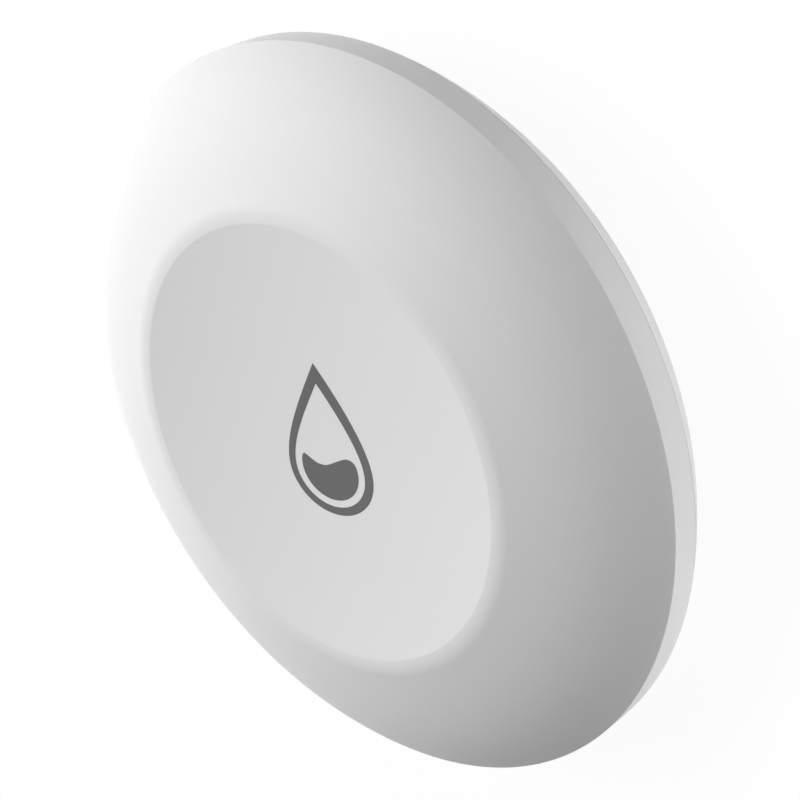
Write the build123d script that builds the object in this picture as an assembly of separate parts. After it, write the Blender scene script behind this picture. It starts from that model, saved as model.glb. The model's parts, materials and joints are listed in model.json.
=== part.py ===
from build123d import *
import os
from math import cos, hypot, radians, sin, sqrt

# A round battery water leak sensor that lies flat on the floor, in millimetres.
# Origin on the round body's axis, on the plane that the feet rest on; +Z up, drop tip towards +Y.

# Outer form
body_d = 56.0
rim_draft = 0.15
stand_h = 1.4
lower_depth = 4.6
rim_h = 2.35
top_room = 4.35
shoulder_w = 10.0
shoulder_top_deg = 17.5
shoulder_foot_deg = 48.0
shoulder_handle_shares = (0.30, 0.376)
dish_lip_w = 1.32
dish_lip_fall = 0.2
dish_lip_rise = 0.05
dish_depth = 1.3
underside_inset = 4.5
belly_arc_r = 16.6

# Shells and the joint between them
cover_wall = 1.4
floor_wall = 1.2
skirt_wall = 1.25
skirt_inner_h = 1.85
edge_round = 0.2
seam_gap = 0.05
reveal_w = 0.5
tongue_gap = 0.1
tongue_wall = 1.3
tongue_top_gap = 0.15
inner_turn_h = 2.0
inner_floor_inset = 0.6
seal_cord_r = 0.38
seal_side_gap = 0.03
seal_slot_lift = 0.45
seal_slack = 0.03

# Drop symbol, inlaid flush in the dish
inlay_depth = 0.4
inlay_over = 1.95
drop_half_w = 4.21
drop_tip_up = 6.0
drop_wide_down = 2.32
drop_bottom_down = 5.88
stroke_w = 0.75
stroke_tip_h = 1.62
stroke_bottom_h = 0.6
stroke_shift = 0.12
pool_side_gap = 0.65
pool_crest_down = 1.25
pool_bottom_gap = 0.53

# Light guide and its collar under the dish
guide_r = 4.4
guide_gap = 0.2
guide_slack = 0.03
collar_wall = 0.8

# Board and what clamps it
board_margin = 3.5
board_t = 0.8
board_room = 0.7
foot_first_deg = 45.0
foot_count = 4
screw_r = 1.0
screw_hole_slack = 0.15
thread_slack = 0.02
screw_head_r = 1.8
screw_head_h = 1.2
screw_head_room = 0.2
screw_bite = 1.5
post_wall = 1.65
head_slack = 0.2
boss_r = 2.3
pilot_extra = 0.3
drive_slot_l = 2.4
drive_slot_w = 0.5
drive_slot_depth = 0.5

# The ring of feet, screws, probes and button under the rim
ring_inset = 8.5

# Rubber feet
foot_r = 2.6
foot_recess = 0.6
foot_slack = 0.05
foot_round = 0.3

# Water probes, in pairs
probe_pair_degs = (0.0, 180.0, 270.0)
probe_half_deg = 7.5
probe_r = 0.8
probe_head_r = 1.7
probe_head_h = 0.95
probe_head_round = 0.35
probe_hole_slack = 0.05
probe_tip_gap = 0.4
probe_post_r = 2.1
insert_r = 1.58
insert_h = 3.0
insert_slack = 0.02
probe_seal_cord_r = 0.23
probe_seal_side_gap = 0.03
probe_seal_end_gap = 0.02

# Coin cell, 24.5 mm across and 5 mm high, as wide as its well lets it be
cell_h = 5.0
cap_rise = 0.4
can_t = 0.3
cell_ring_w = 0.6
cap_t = 0.3
core_slack = 0.05
cell_seat_gap = 0.1

# Battery well in the base
well_slack = 0.3
well_wall = 1.05
well_top_gap = 0.3
recess_land = 0.65
recess_h = 1.1
recess_wall = 1.2
ledge_w = 2.1
bore_step = 1.55
bore_top_room = 0.65
bore_top_wall = 0.8
track_depth = 0.95
track_lift = 2.55
track_h = 0.8
lug_count = 3
slot_deg = 26.0
lock_deg = 45.0

# Battery cover
flange_gap = 0.2
flange_top_gap = 0.1
plate_h = 1.4
spigot_gap = 0.15
spigot_wall = 1.35
lug_gap = 0.15
lug_deg = 20.0
lug_low_gap = 0.1
lug_top_gap = 0.15
coin_slot_l = 16.0
coin_slot_w = 2.0
coin_slot_depth = 0.8
cover_seal_w = 0.7
cover_seal_h = 0.55
cover_seal_inset = 0.05
mark_r = 0.35
mark_depth = 0.2
mark_out = 1.6
pointer_in = 1.8
pointer_deg = 22.5

# Battery contacts
strip_t = 0.2
strip_deg = 16.0
strip_at_deg = 200.0
strip_lift = 3.6
leaf_t = 0.15
leaf_w = 2.4
leaf_pad_l = 4.0
leaf_arm_l = 4.5
leaf_toe_l = 1.0
leaf_tip_gap = 0.05

# Power button, its seal and the switch above it
button_deg = 90.0
button_r = 2.1
button_gap = 0.1
button_recess = 0.1
button_lip = 0.7
button_flange_h = 0.55
button_stem_r = 1.0
button_seat_gap = 0.05
button_travel = 0.3
button_dimple_r = 1.4
button_dimple_depth = 0.1
button_collar_gap = 0.2
button_collar_wall = 0.8
boot_gap = 0.05
boot_h = 0.6
boot_slack = 0.02
switch_w = 4.5
switch_h = 2.0
plunger_r = 0.85
plunger_h = 1.25
plunger_out = 0.45
plunger_slack = 0.1
plunger_room = 0.15
press_gap = 0.05

# Parts on top of the board, at shares of the ring's radius
shield_gap = 1.27
shield_edge = 1.5
shield_width_share = 0.55
shield_side_share = 0.15
shield_h = 1.2
shield_t = 0.2
chip_size = (5.0, 5.0, 0.8)
crystal_size = (3.2, 2.5, 0.7)
crystal_place_shares = (0.45, 0.4)
antenna_size = (8.0, 2.0, 0.9)
antenna_place_shares = (0.0, -0.95)
led_size = (1.6, 0.8, 0.5)
capacitor_size = (1.6, 0.8, 0.8)
capacitor_place_shares = (0.45, -0.425)
capacitor_pitch = (2.6, 2.0)
capacitor_column_count = 2
capacitor_row_count = 3
resistor_size = (1.0, 0.5, 0.35)
resistor_place_shares = (-0.65, -0.525)
resistor_pitch = (2.0, 1.6)
resistor_column_count = 4
resistor_row_count = 2

# Overrun of every cutting tool
overrun = 1.0

# Share of a half width at which a Bezier handle draws a quarter of an ellipse
quarter_share = 0.5523
# Shares of the drop's half width and of its tip-to-waist height for the handles of its side
symbol_slant = 0.035
drop_side_shares = (0.67, 0.48, 0.23)
# Shares of the pool's half width and of its height for the knots and handles of its wavy top
pool_peak_shares = (-0.87, 0.07)
pool_dip_shares = (-0.21, 0.25)
pool_crest_share = 0.66
pool_side_share = 0.31
pool_handle_shares = (0.34, 0.17, 0.13, 0.18)

# Levels and radii worked out from the sizes above
rim_r = body_d / 2
seam_r = rim_r - rim_draft
z_under = stand_h
z_floor = z_under + floor_wall
z_seam = z_under + lower_depth
z_crease = z_seam + rim_h
underside_r = rim_r - underside_inset
dish_edge_r = rim_r - shoulder_w
dish_floor_r = dish_edge_r - dish_lip_w
z_cell = z_under + plate_h + cell_seat_gap
z_board = z_cell + cell_h + board_room
z_board_top = z_board + board_t
z_edge = z_board_top + top_room
z_floor_edge = z_edge + dish_lip_fall
z_dish = z_floor_edge - dish_depth
dish_ball_r = (dish_floor_r**2 + dish_depth**2) / (2 * dish_depth)
skirt_in_r = seam_r - skirt_wall
tongue_r = skirt_in_r - tongue_gap
tongue_in_r = tongue_r - tongue_wall
tongue_h = skirt_inner_h - tongue_top_gap
seal_slot_h = 2 * (seal_cord_r + seal_side_gap)
inlay_reach_r = drop_bottom_down + inlay_over
pool_half_w = drop_half_w - stroke_w - pool_side_gap
pool_bottom_down = drop_bottom_down - stroke_bottom_h - pool_bottom_gap
screw_ring_r = rim_r - ring_inset
probe_ring_r = screw_ring_r
button_ring_r = screw_ring_r
board_r = screw_ring_r + board_margin
probe_seal_slot_w = 2 * (probe_seal_cord_r + probe_seal_side_gap)
probe_seal_slot_h = 2 * (probe_seal_cord_r + probe_seal_end_gap)
z_foot = z_under + foot_recess
z_screw_seat = z_foot + screw_head_room + screw_head_h
z_ledge = z_under + recess_h
recess_r = screw_ring_r - foot_r - foot_slack - recess_land
ring_wall_r = recess_r + recess_wall
bore_r = recess_r - ledge_w
bore_top_lift = track_lift + track_h + bore_top_room
ring_top_lift = bore_top_lift + bore_top_wall
track_r = bore_r + track_depth
post_r = screw_r + post_wall
well_r = bore_r - bore_step
cell_r = well_r - well_slack
can_h = cell_h - cap_rise
flange_h = recess_h - flange_top_gap
lug_lift = track_lift + lug_low_gap
lug_h = track_h - lug_low_gap - lug_top_gap
button_flange_r = button_r + button_lip
button_collar_r = button_flange_r + button_collar_gap
spigot_r = bore_r - spigot_gap
z_collar = z_floor + button_flange_h + button_seat_gap + button_travel + boot_gap + boot_h
z_flange = z_floor + button_seat_gap
z_flange_top = z_flange + button_flange_h
z_boot = z_flange_top + button_travel + boot_gap
z_plunger = z_board - switch_h - plunger_out
shield_in = guide_r + guide_slack + collar_wall + shield_gap
shield_out = screw_ring_r - shield_edge
shield_size = (shield_out - shield_in, screw_ring_r * shield_width_share, shield_h)
shield_place = (-(shield_in + shield_out) / 2, screw_ring_r * shield_side_share)
crystal_place = [screw_ring_r * share for share in crystal_place_shares]
antenna_place = [screw_ring_r * share for share in antenna_place_shares]
capacitor_place = [screw_ring_r * share for share in capacitor_place_shares]
resistor_place = [screw_ring_r * share for share in resistor_place_shares]


def disc(radius, low, high):
    """A solid cylinder on the axis between two levels."""
    return Pos(0, 0, low) * Cylinder(radius, high - low, align=(Align.CENTER, Align.CENTER, Align.MIN))


def ring(outer, inner, low, high):
    """A flat ring on the axis between two levels."""
    return disc(outer, low, high) - disc(inner, low - overrun, high + overrun)


def sector(outer, inner, low, high, middle_deg, width_deg):
    """A stretch of a ring, centred on an azimuth."""
    corners = [(inner, 0, low), (outer, 0, low), (outer, 0, high), (inner, 0, high)]
    face = make_face(Polyline(*corners, close=True))
    return Rot(0, 0, middle_deg - width_deg / 2) * revolve(face, Axis.Z, width_deg)


def block(size, place, low):
    """A box that stands on a level, centred on a place."""
    stand = (Align.CENTER, Align.CENTER, Align.MIN)
    return Pos(place[0], place[1], low) * Box(size[0], size[1], size[2], align=stand)


def around(solid, radius, azimuth):
    """A copy of a solid on the axis, moved out to a radius at an azimuth."""
    return Rot(0, 0, azimuth) * Pos(radius, 0, 0) * solid


def foot_degs():
    """Azimuths of the feet and of the screws above them."""
    return [foot_first_deg + i * 360 / foot_count for i in range(foot_count)]


def probe_degs():
    """Azimuths of the probes, two for each pair."""
    return [middle + side * probe_half_deg for middle in probe_pair_degs for side in (-1, 1)]


def spun(edges):
    """A solid of revolution about Z of a closed outline in the XZ plane."""
    return revolve(make_face(edges), Axis.Z)


def bulged_arc(start, end, radius):
    """An arc of a radius between two (r, z) points that bulges to the right of its direction."""
    run = end[0] - start[0]
    rise = end[1] - start[1]
    chord = hypot(run, rise)
    sag = radius - sqrt(radius**2 - (chord / 2) ** 2)
    middle = ((start[0] + end[0]) / 2 + sag * rise / chord, (start[1] + end[1]) / 2 - sag * run / chord)
    return ThreePointArc((start[0], 0, start[1]), (middle[0], 0, middle[1]), (end[0], 0, end[1]))


def inward(point, slope_deg, wall):
    """The (r, z) point one wall inside a surface that falls outwards at a slope."""
    return (point[0] - wall * sin(radians(slope_deg)), point[1] - wall * cos(radians(slope_deg)))


def shoulder(top, foot):
    """A Bezier edge between two (r, z) points with the shoulder's end slopes."""
    chord = hypot(foot[0] - top[0], foot[1] - top[1])
    near = chord * shoulder_handle_shares[0]
    far = chord * shoulder_handle_shares[1]
    a = radians(shoulder_top_deg)
    b = radians(shoulder_foot_deg)
    first = (top[0] + near * cos(a), 0, top[1] - near * sin(a))
    second = (foot[0] - far * cos(b), 0, foot[1] + far * sin(b))
    return Bezier((top[0], 0, top[1]), first, second, (foot[0], 0, foot[1]))


def dish_arc(drop, reach):
    """The dish floor's arc, lowered by a drop, from the axis out to a reach."""
    ball = dish_ball_r + drop
    centre = z_dish + dish_ball_r
    half = reach / 2
    points = [(r, 0, centre - sqrt(ball**2 - r**2)) for r in (0, half, reach)]
    return ThreePointArc(*points)


def outer_edges():
    """The top cover's outside, from the middle of the dish to the foot of the rim band."""
    lip_mid = (dish_floor_r + dish_lip_w / 2, 0, (z_floor_edge + z_edge) / 2 + dish_lip_rise)
    round_share = 1 - cos(radians(45))
    turn = (seam_r - edge_round * round_share, 0, z_seam + edge_round * round_share)
    low = (seam_r - edge_round, 0, z_seam)
    return [
        dish_arc(0, dish_floor_r),
        ThreePointArc((dish_floor_r, 0, z_floor_edge), lip_mid, (dish_edge_r, 0, z_edge)),
        shoulder((dish_edge_r, z_edge), (rim_r, z_crease)),
        Line((rim_r, 0, z_crease), (seam_r, 0, z_seam + edge_round)),
        ThreePointArc((seam_r, 0, z_seam + edge_round), turn, low),
    ]


def cover_form():
    """The space under the top cover's outside, filled."""
    floor = Polyline((seam_r - edge_round, 0, z_seam), (0, 0, z_seam), (0, 0, z_dish))
    return spun(outer_edges() + floor.edges())


def make_symbol():
    """The drop's outline and its pool, as deep as the inlay under the dish floor."""
    skin_side = dish_arc(0, inlay_reach_r)
    skin_back = dish_arc(inlay_depth, inlay_reach_r)
    closing = [Line(skin_side @ 1, skin_back @ 1), Line(skin_side @ 0, skin_back @ 0)]
    skin = spun([skin_side, skin_back] + closing)
    low = z_dish - inlay_depth - overrun
    depth = z_edge - low + overrun
    hollow = drop_face(drop_half_w - stroke_w, drop_tip_up - stroke_tip_h, drop_bottom_down - stroke_bottom_h, 0)
    outline = drop_face(drop_half_w, drop_tip_up, drop_bottom_down, stroke_shift) - hollow
    prisms = [extrude(Pos(0, 0, low) * face, depth) for face in (outline, pool_face())]
    return [(prism & skin).solids()[0] for prism in prisms]


def slanted(*points):
    """A Bezier edge of the symbol, whose right side stands a little higher than its left."""
    return Bezier(*[(x, y + symbol_slant * x) for x, y in points])


def drop_face(half_w, tip, bottom, middle):
    """A drop: two sides from the tip to the widest line, and half an ellipse under it."""
    fall = tip + drop_wide_down
    reach = bottom - drop_wide_down
    edges = []
    for side in (-1, 1):
        out_share, down_share, up_share = drop_side_shares
        out = middle + side * half_w
        near_tip = (middle + side * half_w * out_share, tip - fall * down_share)
        near_waist = (out, -drop_wide_down + fall * up_share)
        waist = (out, -drop_wide_down)
        edges.append(slanted((middle, tip), near_tip, near_waist, waist))
        under = (out, -drop_wide_down - reach * quarter_share)
        near_bottom = (middle + side * half_w * quarter_share, -bottom)
        edges.append(slanted(waist, under, near_bottom, (middle, -bottom)))
    return make_face(edges)


def pool_face():
    """The pool: half an ellipse under a wave with one peak, a dip and a crest."""
    height = pool_bottom_down - pool_crest_down
    peak = (pool_half_w * pool_peak_shares[0], -pool_crest_down - height * pool_peak_shares[1])
    dip = (pool_half_w * pool_dip_shares[0], -pool_crest_down - height * pool_dip_shares[1])
    crest = (pool_half_w * pool_crest_share, -pool_crest_down)
    side_z = -pool_crest_down - height * pool_side_share
    left = (-pool_half_w, side_z)
    right = (pool_half_w, side_z)
    bottom = (0, -pool_bottom_down)
    lead = pool_half_w * pool_handle_shares[0]
    swing = pool_half_w * pool_handle_shares[1]
    lift = height * pool_handle_shares[2]
    ease = pool_half_w * pool_handle_shares[3]
    below = (pool_bottom_down + side_z) * quarter_share
    across = pool_half_w * quarter_share
    return make_face([
        slanted(left, (left[0], left[1] + lift), (peak[0] - lift / 2, peak[1]), peak),
        slanted(peak, (peak[0] + lead, peak[1] - lift), (dip[0] - lead, dip[1]), dip),
        slanted(dip, (dip[0] + swing, dip[1]), (crest[0] - swing, crest[1]), crest),
        slanted(crest, (crest[0] + ease, crest[1]), (right[0], right[1] + 2 * lift), right),
        slanted(right, (right[0], right[1] - below), (across, bottom[1]), bottom),
        slanted(bottom, (-across, bottom[1]), (left[0], left[1] - below), left),
    ])


def make_top_cover(symbol):
    """The dished white shell with its skirt, screw bosses and light guide collar."""
    foot = (skirt_in_r, z_seam + skirt_inner_h)
    top = inward((dish_edge_r, z_edge), shoulder_top_deg, cover_wall)
    under_dish = dish_arc(cover_wall, dish_floor_r - cover_wall / 2)
    end = under_dish @ 1
    inside = [
        Line((seam_r - edge_round, 0, z_seam), (skirt_in_r, 0, z_seam)),
        Line((skirt_in_r, 0, z_seam), (foot[0], 0, foot[1])),
        shoulder(top, foot),
        Line((top[0], 0, top[1]), (end.X, 0, end.Z)),
        under_dish,
        Line((0, 0, z_dish - cover_wall), (0, 0, z_dish)),
    ]
    shell = spun(outer_edges() + inside)
    form = cover_form()
    for azimuth in foot_degs():
        shell += around(disc(boss_r, z_board_top, z_edge), screw_ring_r, azimuth) & form
    z_collar_low = z_dish - cover_wall - guide_depth()
    collar_in = guide_r + guide_slack
    shell += ring(collar_in + collar_wall, collar_in, z_collar_low, z_dish - cover_wall / 2)
    z_pilot = z_board_top + screw_bite + pilot_extra
    for azimuth in foot_degs():
        pilot = disc(screw_r + thread_slack, z_board_top - overrun, z_pilot)
        shell -= around(pilot, screw_ring_r, azimuth)
    for piece in symbol:
        shell -= piece
    return shell


def guide_depth():
    """Height of the light guide: what the lamp on the board leaves free under the dish."""
    return z_dish - cover_wall - z_board_top - led_size[2] - guide_gap


def make_light_guide(cover):
    """A clear disc in the collar under the dish, over the lamp."""
    low = z_dish - cover_wall - guide_depth()
    return disc(guide_r, low, z_dish - inlay_depth) - cover


def make_base_shell():
    """The lower shell with its tongue, posts, battery well, button collar and probe holes."""
    z_reveal = z_seam - seam_gap
    outer = bulged_arc((underside_r, z_under), (seam_r, z_reveal), belly_arc_r)
    floor_in_r = underside_r - inner_floor_inset
    inner = bulged_arc((floor_in_r, z_floor), (tongue_in_r, z_floor + inner_turn_h), belly_arc_r)
    rim = Polyline(
        (seam_r, 0, z_reveal),
        (seam_r - reveal_w, 0, z_reveal),
        (seam_r - reveal_w, 0, z_seam),
        (tongue_r, 0, z_seam),
        (tongue_r, 0, z_seam + tongue_h),
        (tongue_in_r, 0, z_seam + tongue_h),
        (tongue_in_r, 0, z_floor + inner_turn_h),
    )
    inside = Polyline((floor_in_r, 0, z_floor), (0, 0, z_floor), (0, 0, z_under), (underside_r, 0, z_under))
    shell = spun([outer, inner] + rim.edges() + inside.edges())
    slot_low = z_seam + seal_slot_lift
    slot_in = tongue_r - 2 * seal_cord_r - seal_slack + tongue_gap
    shell -= ring(tongue_r + overrun, slot_in, slot_low, slot_low + seal_slot_h)
    shell += disc(ring_wall_r, z_under, z_under + ring_top_lift)
    shell += disc(well_r + well_wall, z_under, z_board - well_top_gap)
    for azimuth in foot_degs():
        shell += around(disc(post_r, z_floor, z_board), screw_ring_r, azimuth)
    for azimuth in probe_degs():
        shell += around(disc(probe_post_r, z_floor, z_board), probe_ring_r, azimuth)
    collar = disc(button_collar_r + button_collar_wall, z_floor, z_collar)
    shell += around(collar, button_ring_r, button_deg)
    return shell - well_cuts() - post_cuts() - button_cuts() - mark_cuts()


def well_cuts():
    """The battery opening: a recess, a bore with three bayonet tracks, and the cell's well."""
    cut = disc(recess_r, z_under - overrun, z_ledge)
    cut += disc(bore_r, z_ledge - overrun, z_under + bore_top_lift)
    cut += disc(well_r, z_under, z_board + overrun)
    z_track = z_under + track_lift
    for i in range(lug_count):
        middle = i * 360 / lug_count
        cut += sector(track_r, bore_r - overrun, z_ledge - overrun, z_track + track_h, middle, slot_deg)
        span = slot_deg + lock_deg
        cut += sector(track_r, bore_r - overrun, z_track, z_track + track_h, middle + lock_deg / 2, span)
    return cut


def post_cuts():
    """Foot recesses, screw holes and probe holes."""
    cuts = []
    for azimuth in foot_degs():
        cuts.append(around(disc(foot_r + foot_slack, z_under - overrun, z_foot), screw_ring_r, azimuth))
        cuts.append(around(disc(screw_head_r + head_slack, z_under, z_screw_seat), screw_ring_r, azimuth))
        hole = disc(screw_r + screw_hole_slack, z_under, z_board + overrun)
        cuts.append(around(hole, screw_ring_r, azimuth))
    for azimuth in probe_degs():
        seat_r = probe_r + probe_hole_slack + probe_seal_slot_w
        seat = disc(seat_r, z_under - overrun, z_under + probe_seal_slot_h)
        cuts.append(around(seat, probe_ring_r, azimuth))
        hole = disc(probe_r + probe_hole_slack, z_under - overrun, z_board + overrun)
        cuts.append(around(hole, probe_ring_r, azimuth))
        nest = disc(insert_r + insert_slack, z_board - insert_h, z_board + overrun)
        cuts.append(around(nest, probe_ring_r, azimuth))
    return cuts


def button_cuts():
    """The hole for the button and the room above it in its collar."""
    hole = disc(button_r + button_gap, z_under - overrun, z_floor + overrun)
    room = disc(button_collar_r, z_floor, z_collar + overrun)
    return around(hole + room, button_ring_r, button_deg)


def mark_cuts():
    """Two small dots beside the battery cover, at its open place and at its locked place."""
    dot = disc(mark_r, z_under - overrun, z_under + mark_depth)
    return [around(dot, recess_r + mark_out, pointer_deg + turn) for turn in (0, lock_deg)]


def make_battery_cover():
    """The round cover with its spigot, three lugs, a slot for a coin and a pointer dot."""
    flange_r = recess_r - flange_gap
    cover = disc(flange_r, z_under, z_under + flange_h)
    cover += disc(spigot_r - spigot_wall / 2, z_under, z_under + plate_h)
    spigot_in = spigot_r - spigot_wall
    cover += ring(spigot_r, spigot_in, z_under, z_under + lug_lift + lug_h)
    z_lug = z_under + lug_lift
    for i in range(lug_count):
        middle = i * 360 / lug_count
        cover += sector(track_r - lug_gap, spigot_in, z_lug, z_lug + lug_h, middle, lug_deg)
    seal_low = z_ledge - cover_seal_h
    seal_out = flange_r - cover_seal_inset
    cover -= ring(seal_out, seal_out - cover_seal_w, seal_low, z_ledge + overrun)
    coin = Box(coin_slot_l, coin_slot_w, 2 * coin_slot_depth)
    cover -= Pos(0, 0, z_under) * coin
    dot = disc(mark_r, z_under - overrun, z_under + mark_depth)
    cover -= around(dot, flange_r - pointer_in, pointer_deg)
    return cover


def make_battery_cover_seal():
    """A flat rubber ring in the flange's groove, against the ledge."""
    seal_out = recess_r - flange_gap - cover_seal_inset
    return ring(seal_out, seal_out - cover_seal_w, z_ledge - cover_seal_h, z_ledge)


def make_case_seal():
    """A rubber cord ring in the tongue's slot, against the skirt."""
    middle = z_seam + seal_slot_lift + seal_slot_h / 2
    return Pos(0, 0, middle) * Torus(skirt_in_r - seal_slack - seal_cord_r, seal_cord_r)


def make_foot():
    """One rubber foot, rounded where it meets the floor."""
    foot = disc(foot_r, 0, z_foot)
    return fillet(foot.edges().filter_by(GeomType.CIRCLE).sort_by(Axis.Z)[0], foot_round)


def make_case_screw():
    """One case screw from its head under the foot up into the cover's boss."""
    screw = disc(screw_head_r, z_screw_seat - screw_head_h, z_screw_seat)
    screw += disc(screw_r, z_screw_seat, z_board_top + screw_bite)
    for turn in (0, 90):
        slot = Box(drive_slot_l, drive_slot_w, 2 * drive_slot_depth)
        screw -= Pos(0, 0, z_screw_seat - screw_head_h) * Rot(0, 0, turn) * slot
    return screw


def make_probe_screw():
    """One probe: a low round head under the sensor and a shank up to the board."""
    head = disc(probe_head_r, z_under - probe_head_h, z_under)
    head = fillet(head.edges().filter_by(GeomType.CIRCLE).sort_by(Axis.Z)[0], probe_head_round)
    return head + disc(probe_r, z_under, z_board - probe_tip_gap)


def make_probe_insert():
    """One brass insert in its post, against the board's underside."""
    return ring(insert_r, probe_r + insert_slack, z_board - insert_h, z_board)


def make_probe_seal():
    """One small rubber ring round a probe, under its head."""
    middle_r = probe_r + probe_hole_slack + probe_seal_slot_w / 2
    return Pos(0, 0, z_under + probe_seal_slot_h / 2) * Torus(middle_r, probe_seal_cord_r)


def make_cell():
    """The coin cell's can, ring, cap and filling."""
    ring_out = cell_r - can_t
    ring_in = ring_out - cell_ring_w
    z_can_top = z_cell + can_h
    z_cell_top = z_cell + cell_h
    can = disc(cell_r, z_cell, z_can_top) - disc(ring_out, z_cell + can_t, z_can_top + overrun)
    gasket = ring(ring_out, ring_in, z_cell + can_t, z_can_top)
    cap = disc(ring_in, z_cell + can_t, z_cell_top)
    cap -= disc(ring_in - cap_t, z_cell, z_cell_top - cap_t)
    core_r = ring_in - cap_t - core_slack
    core = disc(core_r, z_cell + can_t, z_cell_top - cap_t)
    return can, gasket, cap, core


def make_positive_contact():
    """A thin strip from the board down the side of the can."""
    middle_r = (cell_r + well_r) / 2
    low = z_under + strip_lift + plate_h
    half = strip_t / 2
    return sector(middle_r + half, middle_r - half, low, z_board, strip_at_deg, strip_deg)


def make_negative_contact():
    """A leaf soldered under the board, with an arm down to the cell's cap."""
    top = z_board
    low = z_cell + cell_h + leaf_tip_gap
    start = -leaf_pad_l / 2
    bend = leaf_pad_l / 2
    knee = bend + leaf_arm_l
    toe = knee + leaf_toe_l
    corners = [
        (start, 0, top),
        (bend, 0, top),
        (knee, 0, low + leaf_t),
        (toe, 0, low + leaf_t),
        (toe, 0, low),
        (knee, 0, low),
        (bend, 0, top - leaf_t),
        (start, 0, top - leaf_t),
    ]
    face = make_face(Polyline(*corners, close=True))
    return extrude(face, leaf_w / 2, both=True)


def make_board():
    """The round circuit board with holes for the case screws."""
    board = disc(board_r, z_board, z_board_top)
    hole = disc(screw_r + screw_hole_slack, z_board - overrun, z_board_top + overrun)
    for azimuth in foot_degs():
        board -= around(hole, screw_ring_r, azimuth)
    return board


def make_shield():
    """The radio's tin lid, open towards the board."""
    length, width, height = shield_size
    room = (length - 2 * shield_t, width - 2 * shield_t, height - shield_t)
    return block(shield_size, shield_place, z_board_top) - block(room, shield_place, z_board_top)


def grid(size, place, pitch, column_count, row_count):
    """Equal boxes on the board in rows and columns."""
    boxes = []
    for i in range(column_count):
        for j in range(row_count):
            spot = (place[0] + i * pitch[0], place[1] + j * pitch[1])
            boxes.append(block(size, spot, z_board_top))
    return boxes


def make_button():
    """The power button: a cap with a dimple, a flange that keeps it in, and a stem."""
    z_cap = z_under + button_recess
    button = disc(button_r, z_cap, z_flange_top)
    button += disc(button_flange_r, z_flange, z_flange_top)
    button += disc(button_stem_r, z_flange, z_plunger - press_gap)
    button -= disc(button_dimple_r, z_cap - overrun, z_cap + button_dimple_depth)
    return around(button, button_ring_r, button_deg)


def make_button_seal():
    """A rubber ring round the stem, held in the collar."""
    boot = ring(button_collar_r - boot_slack, button_stem_r + plunger_slack, z_boot, z_boot + boot_h)
    return around(boot, button_ring_r, button_deg)


def make_switch():
    """The switch under the board and its plunger."""
    z_body = z_board - switch_h
    body = block((switch_w, switch_w, switch_h), (0, 0), z_body)
    z_room = z_plunger + plunger_h + button_travel + plunger_room
    body -= disc(plunger_r + plunger_slack, z_body - overrun, z_room)
    plunger = disc(plunger_r, z_plunger, z_plunger + plunger_h)
    return around(body, button_ring_r, button_deg), around(plunger, button_ring_r, button_deg)


def write(name, *shapes):
    """Write one node: every solid of its shapes, in one file."""
    solids = [solid for shape in shapes for solid in shape.solids()]
    export_step(solids[0] if len(solids) == 1 else Compound(solids), f"parts/{name}.step")


os.makedirs("parts", exist_ok=True)

symbol = make_symbol()
top_cover = make_top_cover(symbol)
write("top_cover", top_cover)
write("drop_symbol", *symbol)
write("light_guide", make_light_guide(top_cover))
write("case_seal", make_case_seal())
write("base_shell", make_base_shell())
write("rubber_feet", *[around(make_foot(), screw_ring_r, a) for a in foot_degs()])
write("case_screws", *[around(make_case_screw(), screw_ring_r, a) for a in foot_degs()])
write("probe_screws", *[around(make_probe_screw(), probe_ring_r, a) for a in probe_degs()])
write("probe_inserts", *[around(make_probe_insert(), probe_ring_r, a) for a in probe_degs()])
write("probe_seals", *[around(make_probe_seal(), probe_ring_r, a) for a in probe_degs()])
write("battery_cover", make_battery_cover())
write("battery_cover_seal", make_battery_cover_seal())

cell_can, cell_gasket, cell_cap, cell_core = make_cell()
write("cell_can", cell_can)
write("cell_gasket", cell_gasket)
write("cell_cap", cell_cap)
write("cell_core", cell_core)
write("battery_contact_positive", make_positive_contact())
write("battery_contact_negative", make_negative_contact())

write("circuit_board", make_board())
write("radio_shield", make_shield())
write("microcontroller", block(chip_size, shield_place, z_board_top))
write("crystal", block(crystal_size, crystal_place, z_board_top))
write("chip_antenna", block(antenna_size, antenna_place, z_board_top))
write("status_led", block(led_size, (0, 0), z_board_top))
capacitor_counts = (capacitor_column_count, capacitor_row_count)
resistor_counts = (resistor_column_count, resistor_row_count)
write("capacitors", *grid(capacitor_size, capacitor_place, capacitor_pitch, *capacitor_counts))
write("resistors", *grid(resistor_size, resistor_place, resistor_pitch, *resistor_counts))

write("power_button", make_button())
write("power_button_seal", make_button_seal())
switch_body, switch_plunger = make_switch()
write("tact_switch_body", switch_body)
write("tact_switch_plunger", switch_plunger)
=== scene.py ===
import json
import math

import bmesh
import bpy
import numpy as np
from mathutils import Matrix, Vector


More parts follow.
